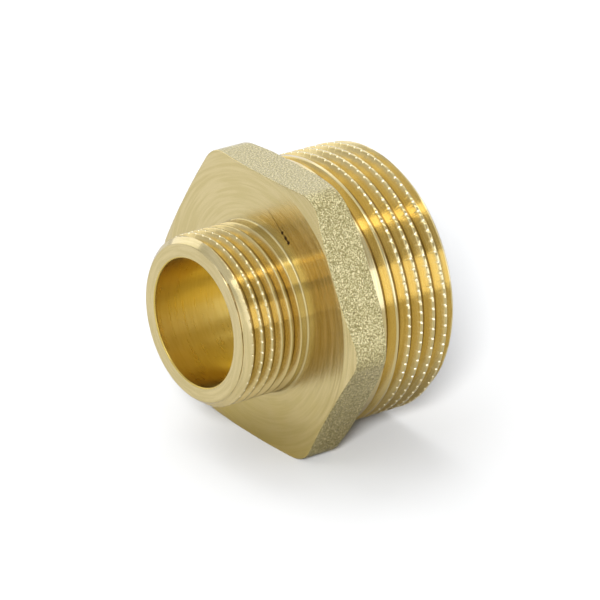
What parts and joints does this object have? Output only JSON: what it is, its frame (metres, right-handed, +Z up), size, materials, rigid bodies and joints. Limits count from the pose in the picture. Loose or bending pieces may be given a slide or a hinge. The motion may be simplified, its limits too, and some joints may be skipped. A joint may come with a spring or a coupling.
{
  "type": "reducing hex nipple",
  "caption": "Brass reducing hex nipple with a G 3/4 and a G 1 1/4 outside thread either side of a forged hexagon, and a stepped waterway right through.",
  "frame": {"origin": "under the middle of the part as it lies on a flat of its hexagon", "axes": "+X along the waterway from the small end to the large end, +Z up out of the hexagon flat that it lies on"},
  "size_m": [0.0336, 0.0482, 0.043],
  "materials": {
    "brass": "turned threads and faces, blasted forged flats"
  },
  "bodies": {
    "root": {"reducing_nipple": "brass"}
  },
  "joints": []
}
